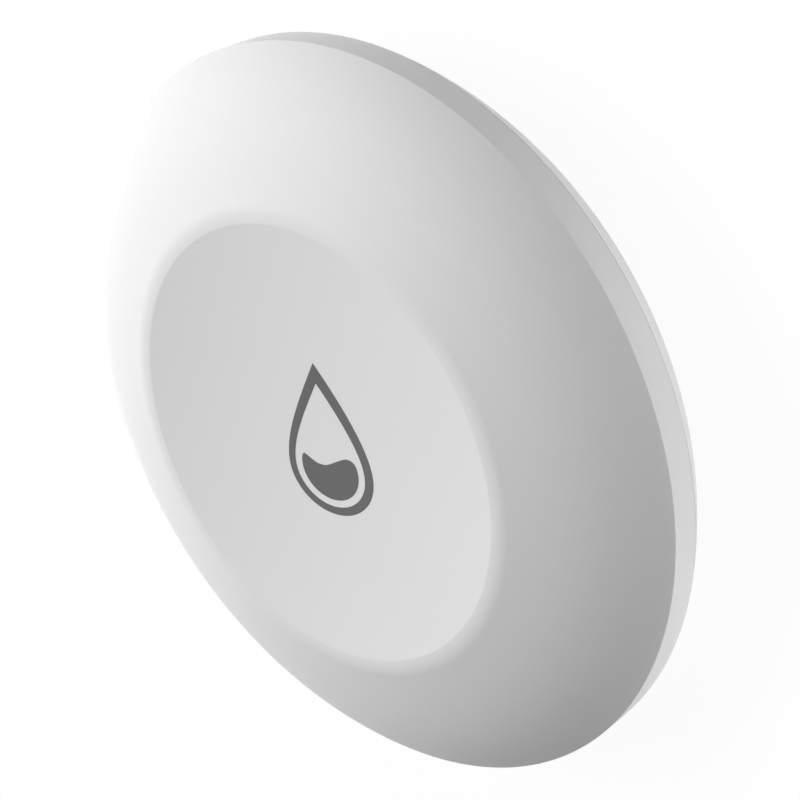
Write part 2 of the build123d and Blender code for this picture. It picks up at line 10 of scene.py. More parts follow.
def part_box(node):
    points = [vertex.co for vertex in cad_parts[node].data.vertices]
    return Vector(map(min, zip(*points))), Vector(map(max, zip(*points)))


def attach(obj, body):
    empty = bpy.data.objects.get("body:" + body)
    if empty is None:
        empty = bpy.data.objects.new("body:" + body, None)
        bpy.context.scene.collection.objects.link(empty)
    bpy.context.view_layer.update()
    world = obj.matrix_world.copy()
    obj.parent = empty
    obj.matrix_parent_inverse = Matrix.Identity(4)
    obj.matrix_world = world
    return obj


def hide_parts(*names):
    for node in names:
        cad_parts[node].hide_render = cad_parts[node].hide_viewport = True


# Round water leak sensor. Lengths in the dictionaries are in millimetres, angles in degrees.
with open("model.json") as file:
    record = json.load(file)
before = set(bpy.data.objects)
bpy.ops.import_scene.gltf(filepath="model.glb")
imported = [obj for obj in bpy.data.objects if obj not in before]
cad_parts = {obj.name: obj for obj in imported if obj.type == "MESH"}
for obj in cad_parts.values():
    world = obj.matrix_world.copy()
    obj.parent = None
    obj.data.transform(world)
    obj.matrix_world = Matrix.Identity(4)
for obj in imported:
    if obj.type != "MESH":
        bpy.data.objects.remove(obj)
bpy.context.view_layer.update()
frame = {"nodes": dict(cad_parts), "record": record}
mm = 0.001
ringSteps = 256  # faces round each large turned piece
smallSteps = 72  # faces round each small one
cornerPoints = 5  # points along a rounded corner
finePoints = 7  # the same where it shows from close by
beside = 1.2  # how far from a rounded corner its flats begin, in radii
sharpAngle = 32  # edges that turn by more than this stay sharp
weld = 1e-8  # points closer together than this, in metres, become one
quarter = 0.5523  # with handles of this many radii a curve is a quarter of a circle
print("frame loaded:", len(frame["nodes"]), "nodes")


def levels(node):
    # radius of a node on the axis, then the lowest and highest level of any node, in millimetres
    low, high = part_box(node)
    return high.x / mm, low.z / mm, high.z / mm


rimRadius, seamLevel, topLevel = levels("top_cover")
flangeRadius, underLevel, lugTop = levels("battery_cover")
cellRadius, cellLow, canTop = levels("cell_can")
capTop = levels("cell_cap")[2]


# Shapes: profiles in (r, z) and the surfaces they make
def straight(start, end, count):
    # points at equal shares of the way from start to end
    share = np.linspace(0, 1, count)[:, None]
    return np.array(start) + share * (np.array(end) - np.array(start))


def bezier(first, second, third, fourth, count):
    # (1-s)^3 P0 + 3(1-s)^2 s P1 + 3(1-s) s^2 P2 + s^3 P3, for s from 0 to 1
    s = np.linspace(0, 1, count)[:, None]
    knots = np.array([first, second, third, fourth], float)
    lead = (1 - s) ** 3 * knots[0] + 3 * (1 - s) ** 2 * s * knots[1]
    return lead + 3 * (1 - s) * s**2 * knots[2] + s**3 * knots[3]


def bulged(start, end, radius, count):
    # arc of the radius from start to end, bulging to the right: centre + radius (cos a, sin a)
    start, end = np.array(start, float), np.array(end, float)
    run = end - start
    chord = np.hypot(*run)
    left = np.array([-run[1], run[0]]) / chord
    centre = (start + end) / 2 + left * math.sqrt(radius**2 - (chord / 2) ** 2)
    a = np.arctan2(*(start - centre)[::-1])
    b = np.arctan2(*(end - centre)[::-1])
    turn = np.linspace(a, b, count)[:, None]
    return centre + radius * np.hstack([np.cos(turn), np.sin(turn)])


def softened(corners, radii, count=cornerPoints):
    # each corner gives way to corner + (1-s)^2 near + s^2 far, where near and far reach back and
    # on by its radius; a point just beyond each end of the curve keeps the flats beside it flat
    made = []
    for i, (corner, radius) in enumerate(zip(corners, radii)):
        corner = np.array(corner, float)
        if radius == 0:
            made.append(corner[None])
            continue
        back = np.array(corners[i - 1], float) - corner
        on = np.array(corners[(i + 1) % len(corners)], float) - corner
        near = back / np.hypot(*back) * radius
        far = on / np.hypot(*on) * radius
        s = np.linspace(0, 1, count)[:, None]
        curve = corner + (1 - s) ** 2 * near + s**2 * far
        made.append(np.vstack([corner + near * beside, curve, corner + far * beside]))
    return np.vstack(made)


def smooth(mesh):
    mesh.shade_smooth()
    mesh.set_sharp_from_angle(angle=math.radians(sharpAngle))


def finished(name, points, faces):
    # a smooth piece at the origin from points in millimetres, closed and facing outwards
    mesh = bpy.data.meshes.new(name)
    mesh.from_pydata((points * mm).tolist(), [], faces)
    work = bmesh.new()
    work.from_mesh(mesh)
    bmesh.ops.remove_doubles(work, verts=work.verts, dist=weld)
    bmesh.ops.recalc_face_normals(work, faces=work.faces)
    work.to_mesh(mesh)
    work.free()
    smooth(mesh)
    piece = bpy.data.objects.new(name, mesh)
    bpy.context.scene.collection.objects.link(piece)
    return piece


def gridFaces(rows, columns, looped):
    # quads between row i and i+1 and column j and j+1; columns wrap round, and so do looped rows
    i = np.arange(rows if looped else rows - 1)[:, None]
    j = np.arange(columns)[None]
    row, nextRow = i * columns, (i + 1) % rows * columns
    nextColumn = (j + 1) % columns
    quads = np.stack([row + j, row + nextColumn, nextRow + nextColumn, nextRow + j], -1)
    return quads.reshape(-1, 4)


def turned(name, profile, steps=ringSteps, spots=((0, 0),), looped=False):
    # (r cos t, r sin t, z) for each profile point and angle t; a looped profile returns to its
    # start, and each spot moves a copy out to its radius and azimuth
    t = np.linspace(0, 2 * np.pi, steps, endpoint=False)
    r, z = profile[:, 0][:, None], profile[:, 1][:, None]
    body = np.stack([r * np.cos(t), r * np.sin(t), z + 0 * t], -1).reshape(-1, 3)
    quads = gridFaces(len(profile), steps, looped)
    points, faces = [], []
    for radius, azimuth in spots:
        a = math.radians(azimuth)
        faces.append(quads + len(body) * len(points))
        points.append(body + [radius * math.cos(a), radius * math.sin(a), 0])
    return finished(name, np.vstack(points), np.vstack(faces).tolist())


def plug(name, radius, low, high, ring, azimuth):
    # a closed cylinder moved out to its place
    profile = np.array([(0, low), (radius, low), (radius, high), (0, high)], float)
    return turned(name, profile, smallSteps, ((ring, azimuth),))


def wedge(name, inner, outer, low, high, middle, width, count=24):
    # a stretch of a ring: its four corners carried along an arc, with both ends closed
    t = np.radians(middle + np.linspace(-width / 2, width / 2, count))[:, None]
    r, z = np.array([inner, outer, outer, inner]), np.array([low, low, high, high])
    points = np.stack([r * np.cos(t), r * np.sin(t), z + 0 * t], -1).reshape(-1, 3)
    faces = gridFaces(count, 4, False).tolist()
    return finished(name, points, faces + [[3, 2, 1, 0], [count * 4 - 4 + k for k in range(4)]])


def cut(piece, cutters):
    # cuts the cutters out of a piece, for good, and deletes them
    for cutter in cutters:
        modifier = piece.modifiers.new("cut", "BOOLEAN")
        modifier.object = cutter
        modifier.operation = "DIFFERENCE"
        modifier.solver = "EXACT"
    graph = bpy.context.evaluated_depsgraph_get()
    mesh = bpy.data.meshes.new_from_object(piece.evaluated_get(graph))
    piece.modifiers.clear()
    piece.data = mesh
    smooth(mesh)
    for cutter in cutters:
        bpy.data.objects.remove(cutter)


# Finishes


# what a look has unless its own line says otherwise: broad and grain are the scales of its noises
# per metre, and reliefDepth is in millimetres
plainLook = dict(metal=0, ior=1.46, coat=0, clear=0, broad=60, broadDetail=3, drift=0.02, roughDrift=0.03,
                 grain=6000, grainDetail=2, relief=0.15, reliefDepth=0.01)
noiseLow, noiseHigh = 0.3, 0.7  # nearly all of a noise lies between these


def noise(tree, scale, detail):
    # a noise in the piece's own coordinates
    place = tree.nodes.new("ShaderNodeTexCoord")
    made = tree.nodes.new("ShaderNodeTexNoise")
    made.inputs["Scale"].default_value = scale
    made.inputs["Detail"].default_value = detail
    tree.links.new(place.outputs["Object"], made.inputs["Vector"])
    return made.outputs["Fac"]


def span(tree, source, low, high):
    # a noise spread out from low to high
    made = tree.nodes.new("ShaderNodeMapRange")
    made.inputs["From Min"].default_value = noiseLow
    made.inputs["From Max"].default_value = noiseHigh
    made.inputs["To Min"].default_value = low
    made.inputs["To Max"].default_value = high
    tree.links.new(source, made.inputs["Value"])
    return made.outputs["Result"]


def finish(name, own):
    # moulded or metal surface: broad colour and gloss drift, and a fine grain in the relief
    look = plainLook | own
    material = bpy.data.materials.new(name)
    material.use_nodes = True
    tree = material.node_tree
    shader = tree.nodes["Principled BSDF"]
    shader.inputs["Metallic"].default_value = look["metal"]
    shader.inputs["IOR"].default_value = look["ior"]
    shader.inputs["Coat Weight"].default_value = look["coat"]
    shader.inputs["Transmission Weight"].default_value = look["clear"]
    broad = noise(tree, look["broad"], look["broadDetail"])
    mix = tree.nodes.new("ShaderNodeMix")
    mix.data_type = "RGBA"
    shade, drift = np.array(look["colour"]), look["drift"]
    mix.inputs["A"].default_value = (*(shade * (1 - drift)), 1)
    mix.inputs["B"].default_value = (*np.minimum(shade * (1 + drift), 1), 1)
    tree.links.new(span(tree, broad, 0, 1), mix.inputs["Factor"])
    tree.links.new(mix.outputs["Result"], shader.inputs["Base Color"])
    rough, roughDrift = look["rough"], look["roughDrift"]
    tree.links.new(span(tree, broad, rough - roughDrift, rough + roughDrift), shader.inputs["Roughness"])
    relief = tree.nodes.new("ShaderNodeBump")
    relief.inputs["Strength"].default_value = look["relief"]
    relief.inputs["Distance"].default_value = look["reliefDepth"] * mm
    tree.links.new(noise(tree, look["grain"], look["grainDetail"]), relief.inputs["Height"])
    tree.links.new(relief.outputs["Normal"], shader.inputs["Normal"])
    material.diffuse_color = (*shade, 1)
    return material


looks = {
    "shell_white": dict(colour=(0.69, 0.69, 0.69), rough=0.55, ior=1.4, drift=0.006, grain=7000, relief=0.12,
                        reliefDepth=0.006),
    "symbol_grey": dict(colour=(0.086, 0.0855, 0.085), rough=0.5, ior=1.4, drift=0.03, grain=9000,
                        relief=0.1),
    "clear_guide": dict(colour=(0.85, 0.86, 0.86), rough=0.45, clear=0.5),
    "foot_rubber": dict(colour=(0.36, 0.36, 0.365), rough=0.75, drift=0.05, grain=5000, relief=0.35,
                        reliefDepth=0.02),
    "seal_rubber": dict(colour=(0.05, 0.05, 0.055), rough=0.55, drift=0.08, grain=4000, relief=0.2),
    "screw_steel": dict(colour=(0.55, 0.55, 0.56), rough=0.35, metal=1, drift=0.06, broad=400),
    "probe_metal": dict(colour=(0.7, 0.68, 0.64), rough=0.2, metal=1, drift=0.04, broad=500,
                        roughDrift=0.06),
    "insert_brass": dict(colour=(0.72, 0.55, 0.26), rough=0.3, metal=1, drift=0.05, broad=500),
    "cell_steel": dict(colour=(0.62, 0.62, 0.63), rough=0.28, metal=1, drift=0.04, broad=150,
                       roughDrift=0.07),
    "cell_plastic": dict(colour=(0.1, 0.1, 0.1), rough=0.5),
    "cell_filling": dict(colour=(0.12, 0.12, 0.13), rough=0.8, drift=0.2, grain=3000, relief=0.5),
    "contact_nickel": dict(colour=(0.6, 0.58, 0.52), rough=0.3, metal=1, drift=0.05),
    "board_green": dict(colour=(0.03, 0.16, 0.07), rough=0.4, coat=0.3, drift=0.15, broad=300),
    "shield_tin": dict(colour=(0.6, 0.6, 0.6), rough=0.38, metal=1, drift=0.05, broad=300),
    "chip_black": dict(colour=(0.03, 0.03, 0.033), rough=0.6, drift=0.1, grain=8000, relief=0.3),
    "chip_ceramic": dict(colour=(0.6, 0.52, 0.4), rough=0.6, drift=0.08, grain=8000, relief=0.3),
    "lamp_clear": dict(colour=(0.85, 0.82, 0.6), rough=0.15, clear=0.4),
    "plunger_plastic": dict(colour=(0.8, 0.8, 0.78), rough=0.35),
}
finishes = {name: finish(name, look) for name, look in looks.items()}


def dress(piece, slot):
    piece.data.materials.clear()
    piece.data.materials.append(finishes[slot])


def settle(piece, body, slot, *nodes):
    # a piece rides on a body, takes the record's slot and stands for its nodes
    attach(piece, body)
    if nodes:
        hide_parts(*nodes)
    dress(piece, slot)


# the CAD solids have their finishes too
for entry in frame["record"]["subparts"]:
    dress(frame["nodes"][entry["node"]], entry["material_slot"])
print("finishes made:", len(finishes))


# The dished top cover
cover = dict(dishRadius=16.68, dishDepth=1.3, dishSoft=0.08, lipRadius=18.0, lipFall=0.17, lipPower=2.45,
             rimHeight=2.35, draft=0.15, topSlope=17.5, footSlope=48.0, handles=(0.30, 0.376), crease=0.025,
             bevel=0.22, bevelIn=0.02, bevelSoft=0.05, lowerEdge=0.03, wall=1.4, skirt=1.25,
             skirtHeight=1.85, innerEdge=0.1, dishPoints=40, lipPoints=20, shoulderPoints=64,
             innerPoints=24, underPoints=16)
creaseLevel = seamLevel + cover["rimHeight"]
lipLevel = topLevel - cover["lipFall"]
dishBall = (cover["dishRadius"] ** 2 + cover["dishDepth"] ** 2) / (2 * cover["dishDepth"])
dishLevel = topLevel - cover["dishDepth"]
seamRadius = rimRadius - cover["draft"]


def dishHeight(radius, sunk=0.0):
    # the underside of a ball: its centre's level minus the root of (ball + sunk)^2 - r^2
    return dishLevel + dishBall - np.sqrt((dishBall + sunk) ** 2 - radius**2)


def shoulderCurve(top, foot, count):
    # falls from top to foot by the two slopes, with handles that are shares of the chord
    a, b = math.radians(cover["topSlope"]), math.radians(cover["footSlope"])
    chord = math.dist(top, foot)
    near, far = chord * cover["handles"][0], chord * cover["handles"][1]
    return bezier(top, (top[0] + near * math.cos(a), top[1] - near * math.sin(a)),
                  (foot[0] - far * math.cos(b), foot[1] + far * math.sin(b)), foot, count)


def makeCover():
    floorEnd = cover["dishRadius"] - cover["dishSoft"]
    dishRun = np.append(np.linspace(0, floorEnd, cover["dishPoints"]), cover["dishRadius"])
    dish = np.column_stack([dishRun, dishHeight(dishRun)])
    # the lip falls by s^power from the dish's edge, at s = 0, to the shoulder, at s = 1
    lipSpan = np.linspace(0, 1, cover["lipPoints"])
    lipRun = cover["dishRadius"] + (cover["lipRadius"] - cover["dishRadius"]) * lipSpan
    lip = np.column_stack([lipRun, topLevel - cover["lipFall"] * lipSpan ** cover["lipPower"]])
    crease = (rimRadius, creaseLevel)
    shoulder = shoulderCurve((cover["lipRadius"], lipLevel), crease, cover["shoulderPoints"])
    inRadius = seamRadius - cover["skirt"]
    bevelTop = (seamRadius, seamLevel + cover["bevel"])
    bevelFoot = (seamRadius - cover["bevelIn"], seamLevel)
    # the band starts from a point of the shoulder, so that the crease is rounded along its slope
    band = softened([tuple(shoulder[-3]), crease, bevelTop, bevelFoot, (inRadius, seamLevel)],
                    [0, cover["crease"], cover["bevelSoft"], cover["lowerEdge"], cover["innerEdge"]],
                    finePoints)[1:]
    a = math.radians(cover["topSlope"])
    innerTop = (cover["lipRadius"] - cover["wall"] * math.sin(a), lipLevel - cover["wall"] * math.cos(a))
    innerFoot = (inRadius, seamLevel + cover["skirtHeight"])
    inner = shoulderCurve(innerTop, innerFoot, cover["innerPoints"])[::-1]
    underRun = np.linspace(cover["dishRadius"] - cover["wall"] / 2, 0, cover["underPoints"])
    under = np.column_stack([underRun, dishHeight(underRun, cover["wall"])])
    profile = np.vstack([dish, lip[1:], shoulder[1:-2], band, inner, under])
    piece = turned("topCover", profile)
    settle(piece, "housing", "shell_white", "top_cover")


makeCover()
print("top cover made")


# The drop: an outline and a pool with a wavy top, set into the dish
drop = dict(halfWidth=4.21, tip=6.0, waist=-2.32, bottom=-5.88, side=(0.67, 0.48, 0.23), stroke=0.75,
            strokeTip=1.62, strokeBottom=0.6, shift=0.12, slant=0.035, proud=0.012, sunk=0.1, points=48)
# peak, dip, crestAt and side are shares of the half width and the height, and so are the handles
# lead, swing, ease and lift; middle is where its top is drawn in to, from the centre of its height
pool = dict(halfWidth=2.81, crest=-1.25, bottom=-4.75, peak=(-0.87, 0.07), dip=(-0.21, 0.25), crestAt=0.66,
            side=0.31, lead=0.34, swing=0.17, ease=0.18, lift=0.13, middle=(0.1, -0.2), layers=9, points=24)


def dropLine(halfWidth, tip, bottom):
    # right side from tip to bottom: a side curve, then a quarter of an ellipse; the left side mirrors it
    fall, reach = tip - drop["waist"], drop["waist"] - bottom
    out, down, up = drop["side"]
    side = bezier((0, tip), (halfWidth * out, tip - fall * down), (halfWidth, drop["waist"] + fall * up),
                  (halfWidth, drop["waist"]), drop["points"])
    under = bezier((halfWidth, drop["waist"]), (halfWidth, drop["waist"] - reach * quarter),
                   (halfWidth * quarter, bottom), (0, bottom), drop["points"])
    right = np.vstack([side, under[1:]])
    return np.vstack([right, right[-2:0:-1] * [-1, 1]])


def poolLine():
    # six curves round the pool: left edge, peak, dip, crest, right edge and bottom
    height, half = pool["crest"] - pool["bottom"], pool["halfWidth"]
    lead, swing, ease = half * pool["lead"], half * pool["swing"], half * pool["ease"]
    lift = height * pool["lift"]
    peakHandle, edgeHandle = lift / 2, 2 * lift
    peak = (half * pool["peak"][0], pool["crest"] - height * pool["peak"][1])
    dip = (half * pool["dip"][0], pool["crest"] - height * pool["dip"][1])
    crest = (half * pool["crestAt"], pool["crest"])
    sideLevel = pool["crest"] - height * pool["side"]
    below, across = (sideLevel - pool["bottom"]) * quarter, half * quarter
    knots = [
        ((-half, sideLevel), (-half, sideLevel + lift), (peak[0] - peakHandle, peak[1]), peak),
        (peak, (peak[0] + lead, peak[1] - lift), (dip[0] - lead, dip[1]), dip),
        (dip, (dip[0] + swing, dip[1]), (crest[0] - swing, crest[1]), crest),
        (crest, (crest[0] + ease, crest[1]), (half, sideLevel + edgeHandle), (half, sideLevel)),
        ((half, sideLevel), (half, sideLevel - below), (across, pool["bottom"]), (0, pool["bottom"])),
        ((0, pool["bottom"]), (-across, pool["bottom"]), (-half, sideLevel - below), (-half, sideLevel)),
    ]
    return np.vstack([bezier(*knot, pool["points"])[:-1] for knot in knots])


def onDish(line, lift):
    # the flat line, y raised by its slant times x, on the dish floor: z is the dish's height
    # there plus a lift
    line = line + np.column_stack([0 * line[:, 0], drop["slant"] * line[:, 0]])
    return np.column_stack([line, dishHeight(np.hypot(line[:, 0], line[:, 1])) + lift])


def makeDrop():
    outer = dropLine(drop["halfWidth"], drop["tip"], drop["bottom"]) + [drop["shift"], 0]
    inner = dropLine(drop["halfWidth"] - drop["stroke"], drop["tip"] - drop["strokeTip"],
                     drop["bottom"] + drop["strokeBottom"])
    top, low = drop["proud"], -drop["sunk"]
    rings = [onDish(outer, low), onDish(outer, top), onDish((outer + inner) / 2, top), onDish(inner, top),
             onDish(inner, low)]
    outline = np.vstack(rings)
    faces = gridFaces(len(rings), len(outer), True)
    # the pool's top: its line drawn in to the middle by the share s
    wave = poolLine()
    middle = np.array([pool["middle"][0], (pool["crest"] + pool["bottom"]) / 2 + pool["middle"][1]])
    shares = np.linspace(1, 0, pool["layers"])
    layers = [onDish(wave, low)] + [onDish(middle + (wave - middle) * s, top) for s in shares]
    layers.append(onDish(middle + 0 * wave, low))
    poolFaces = gridFaces(len(layers), len(wave), True) + len(outline)
    piece = finished("dropSymbol", np.vstack([outline] + layers), faces.tolist() + poolFaces.tolist())
    settle(piece, "housing", "symbol_grey", "drop_symbol")


makeDrop()
print("drop symbol made")


# The base shell, with the battery opening, foot recesses, button hole and marks
base = dict(underRadius=23.5, belly=16.6, gap=0.025, reveal=0.12, tongueGap=0.1, tongue=1.3,
            tongueHeight=1.7, floor=1.2, inset=0.6, turn=2.0, recess=16.2, ledge=1.1, bore=14.1, boreTop=4.0,
            well=12.55, wellWall=1.05, ringWall=17.4, ringTop=4.8, wellTop=6.9, track=15.05, trackLift=2.55,
            trackHeight=0.8, slot=26.0, lock=45.0, edge=0.12, marks=(22.5, 67.5), markRadius=0.35,
            markRing=17.8, markDepth=0.2, bellyPoints=28, innerPoints=12, underPoints=6)
# hollowEnds are shares of the foot's radius
foot = dict(radius=2.6, ring=19.5, azimuths=(45, 135, 225, 315), recess=0.6, slack=0.05, edge=0.35,
            topEdge=0.08, hollow=0.12, hollowEdge=0.1, hollowEnds=(0.62, 0.72))
# cornerRise is a share of the crown
probe = dict(radius=1.7, ring=19.5, pairs=(0, 180, 270), half=7.5, height=0.95, edge=0.4, crown=0.12,
             crownPoints=10, cornerRise=1.3, shank=0.8, seatEdge=0.05, shankEdge=0.1)
button = dict(radius=2.1, ring=19.5, azimuth=90, gap=0.1, edge=0.2, dimple=1.4, dimpleDepth=0.12,
              dimpleFlank=0.15, dimpleEdges=(0.1, 0.05), flange=2.8, flangeGap=0.05, flangeHeight=0.55,
              flangeEdge=0.08, stem=1.0, stemEdge=0.1)
over = 1.0  # how far a cutter reaches past what it cuts
lugAzimuths = (0, 120, 240)
seamRim = seamRadius - cover["bevelIn"]
tongueRadius = seamRadius - cover["skirt"] - base["tongueGap"]
floorLevel = underLevel + base["floor"]
ledgeLevel = underLevel + base["ledge"]


def makeBase():
    edge = base["edge"]
    tongueIn = tongueRadius - base["tongue"]
    tongueTop = seamLevel + base["tongueHeight"]
    revealLevel, revealRadius = seamLevel - base["gap"], seamRim - base["reveal"]
    bellyCurve = bulged((base["underRadius"], underLevel), (seamRim, revealLevel), base["belly"],
                        base["bellyPoints"])
    innerStart = (base["underRadius"] - base["inset"], floorLevel)
    innerCurve = bulged(innerStart, (tongueIn, floorLevel + base["turn"]), base["belly"],
                        base["innerPoints"])[::-1]
    rim = softened([tuple(bellyCurve[-2]), (seamRim, revealLevel), (revealRadius, revealLevel),
                    (revealRadius, seamLevel), (tongueRadius, seamLevel), (tongueRadius, tongueTop),
                    (tongueIn, tongueTop)], [0, edge / 4, 0, 0, 0, edge, edge])[1:]
    wellOut = base["well"] + base["wellWall"]
    inside = [(base["ringWall"], floorLevel), (base["ringWall"], underLevel + base["ringTop"]),
              (wellOut, underLevel + base["ringTop"]), (wellOut, underLevel + base["wellTop"]),
              (base["well"], underLevel + base["wellTop"]), (base["well"], underLevel + base["boreTop"]),
              (base["bore"], underLevel + base["boreTop"]), (base["bore"], ledgeLevel),
              (base["recess"], ledgeLevel), (base["recess"], underLevel)]
    well = softened(inside, [0, edge, edge, edge, edge, 0, edge, edge, 0, edge])
    under = straight((base["recess"] + 2 * edge, underLevel), (base["underRadius"] - 2 * edge, underLevel),
                     base["underPoints"])
    profile = np.vstack([under, bellyCurve[:-2], rim, innerCurve, well])
    piece = turned("baseShell", profile, looped=True)
    cut(piece, baseCutters())
    settle(piece, "housing", "shell_white", "base_shell")


def baseCutters():
    track = underLevel + base["trackLift"]
    made = []
    for azimuth in foot["azimuths"]:
        made.append(plug("footCut", foot["radius"] + foot["slack"], underLevel - over,
                         underLevel + foot["recess"], foot["ring"], azimuth))
    made.append(plug("buttonCut", button["radius"] + button["gap"], underLevel - over, floorLevel + over,
                     button["ring"], button["azimuth"]))
    for azimuth in base["marks"]:
        made.append(plug("markCut", base["markRadius"], underLevel - over, underLevel + base["markDepth"],
                         base["markRing"], azimuth))
    for middle in lugAzimuths:
        made.append(wedge("slotCut", base["bore"] - over, base["track"], ledgeLevel - over / 2,
                          track + base["trackHeight"] / 2, middle, base["slot"]))
        made.append(wedge("trackCut", base["bore"] - over, base["track"], track, track + base["trackHeight"],
                          middle + base["lock"] / 2, base["slot"] + base["lock"]))
    return made


makeBase()
print("base shell made")


# What shows underneath: feet, probes, button, battery cover and its ring
def makeFeet():
    top = underLevel + foot["recess"]
    radius, (hollowEnd, rimStart) = foot["radius"], foot["hollowEnds"]
    corners = [(0, foot["hollow"]), (radius * hollowEnd, foot["hollow"]), (radius * rimStart, 0),
               (radius, 0), (radius, top), (0, top)]
    profile = softened(corners, [0, foot["hollowEdge"], foot["hollowEdge"], foot["edge"], foot["topEdge"],
                                 0])
    spots = [(foot["ring"], azimuth) for azimuth in foot["azimuths"]]
    piece = turned("rubberFeet", profile, smallSteps, spots)
    settle(piece, "housing", "foot_rubber", "rubber_feet")


def makeProbes():
    low, top = underLevel - probe["height"], levels("probe_screws")[2]
    # the head's crown rises from its middle by the square of the radius
    run = np.linspace(0, probe["radius"] - probe["edge"], probe["crownPoints"])
    crown = np.column_stack([run, low + probe["crown"] * (run / run[-1]) ** 2])
    corners = [tuple(crown[-2]), (probe["radius"], low + probe["crown"] * probe["cornerRise"]),
               (probe["radius"], underLevel), (probe["shank"], underLevel), (probe["shank"], top), (0, top)]
    radii = [0, probe["edge"], probe["seatEdge"], 0, probe["shankEdge"], 0]
    sides = softened(corners, radii, finePoints)[1:]
    spots = [(probe["ring"], pair + side * probe["half"]) for pair in probe["pairs"] for side in (-1, 1)]
    piece = turned("probeScrews", np.vstack([crown[:-1], sides]), smallSteps, spots)
    settle(piece, "housing", "probe_metal", "probe_screws")


def makeButton():
    low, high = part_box("power_button")[0].z / mm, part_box("power_button")[1].z / mm
    flangeLow = underLevel + base["floor"] + button["flangeGap"]
    flangeTop = flangeLow + button["flangeHeight"]
    dimple, dimpleTop = button["dimple"], low + button["dimpleDepth"]
    corners = [(0, dimpleTop), (dimple, dimpleTop), (dimple + button["dimpleFlank"], low),
               (button["radius"], low), (button["radius"], flangeLow), (button["flange"], flangeLow),
               (button["flange"], flangeTop), (button["stem"], flangeTop), (button["stem"], high), (0, high)]
    profile = softened(corners, [0, *button["dimpleEdges"], button["edge"], 0, button["flangeEdge"],
                                 button["flangeEdge"], 0, button["stemEdge"], 0])
    piece = turned("powerButton", profile, smallSteps, ((button["ring"], button["azimuth"]),))
    settle(piece, "power_button", "shell_white", "power_button")


# slotStraight is a share of the coin slot's depth, and slotDraw of its width and length
lid = dict(flange=1.0, plate=1.4, spigot=13.95, spigotWall=1.35, lug=14.9, lugIn=0.3, lugLow=2.65,
           lugHeight=0.55, lugWidth=20.0, slotLength=16.0, slotWidth=2.0, slotDepth=0.8, slotStraight=0.8,
           slotDraw=0.96, slotPoints=16, sealOut=15.95, sealWidth=0.7, sealHeight=0.55, sealEdge=0.12,
           grooveEdge=0.02, edge=0.15, pointer=22.5, pointerRing=14.2)


def makeLid():
    edge, grooveEdge = lid["edge"], lid["grooveEdge"]
    spigotIn = lid["spigot"] - lid["spigotWall"]
    grooveLow, grooveIn = ledgeLevel - lid["sealHeight"], lid["sealOut"] - lid["sealWidth"]
    flangeTop, plateTop = underLevel + lid["flange"], underLevel + lid["plate"]
    corners = [(0, underLevel), (flangeRadius, underLevel), (flangeRadius, flangeTop),
               (lid["sealOut"], flangeTop), (lid["sealOut"], grooveLow), (grooveIn, grooveLow),
               (grooveIn, flangeTop), (lid["spigot"], flangeTop), (lid["spigot"], lugTop),
               (spigotIn, lugTop), (spigotIn, plateTop), (0, plateTop)]
    profile = softened(corners, [0, edge, grooveEdge, grooveEdge, 0, 0, edge / 3, 0, edge, edge, 0, 0])
    piece = turned("batteryCover", profile)
    slot = slotCutter()
    dot = plug("pointerCut", base["markRadius"], underLevel - over, underLevel + base["markDepth"],
               lid["pointerRing"], lid["pointer"])
    cut(piece, [slot, dot])
    settle(piece, "battery_cover", "shell_white", "battery_cover")
    low = underLevel + lid["lugLow"]
    for i, azimuth in enumerate(lugAzimuths):
        lug = wedge(f"coverLug{i + 1}", spigotIn + lid["lugIn"], lid["lug"], low, low + lid["lugHeight"],
                    azimuth, lid["lugWidth"])
        settle(lug, "battery_cover", "shell_white")


def slotCutter():
    # a bar with round ends and a bottom drawn in a little, for the edge of a coin
    half, radius = lid["slotLength"] / 2 - lid["slotWidth"] / 2, lid["slotWidth"] / 2
    t = np.linspace(-np.pi / 2, np.pi / 2, lid["slotPoints"])
    right = np.column_stack([half + radius * np.cos(t), radius * np.sin(t)])
    line = np.vstack([right, -right])
    count = len(line)
    deep = lid["slotDepth"]
    rings = [(1.0, -over), (1.0, deep * lid["slotStraight"]), (lid["slotDraw"], deep)]
    points = np.vstack([np.column_stack([line * s, np.full(count, underLevel + z)]) for s, z in rings])
    faces = gridFaces(len(rings), count, False).tolist()
    return finished("slotCut", points, faces + [list(range(count)), list(range(2 * count, 3 * count))])


def makeRing():
    outer, inner = lid["sealOut"], lid["sealOut"] - lid["sealWidth"]
    low = ledgeLevel - lid["sealHeight"]
    corners = [(inner, low), (outer, low), (outer, ledgeLevel), (inner, ledgeLevel)]
    piece = turned("batteryCoverSeal", softened(corners, [lid["sealEdge"]] * 4), looped=True)
    settle(piece, "cover_ring", "seal_rubber", "battery_cover_seal")


makeFeet()
makeProbes()
makeButton()
makeLid()
makeRing()
print("underside made")


# The coin cell
cell = dict(wall=0.3, ring=0.6, edge=0.5, roll=0.12, innerEdge=0.2, capEdge=0.25, capInnerEdge=0.1)


def makeCell():
    inner, floor = cellRadius - cell["wall"], cellLow + cell["wall"]
    can = softened([(0, cellLow), (cellRadius, cellLow), (cellRadius, canTop), (inner, canTop),
                    (inner, floor), (0, floor)],
                   [0, cell["edge"], cell["roll"], cell["roll"], cell["innerEdge"], 0])
    settle(turned("cellCan", can), "coin_cell", "cell_steel", "cell_can")
    capRadius = inner - cell["ring"]
    capIn, capUnder = capRadius - cell["wall"], capTop - cell["wall"]
    cap = softened([(0, capTop), (capRadius, capTop), (capRadius, floor), (capIn, floor), (capIn, capUnder),
                    (0, capUnder)], [0, cell["capEdge"], 0, 0, cell["capInnerEdge"], 0])
    settle(turned("cellCap", cap), "coin_cell", "cell_steel", "cell_cap")


makeCell()
print("coin cell made")


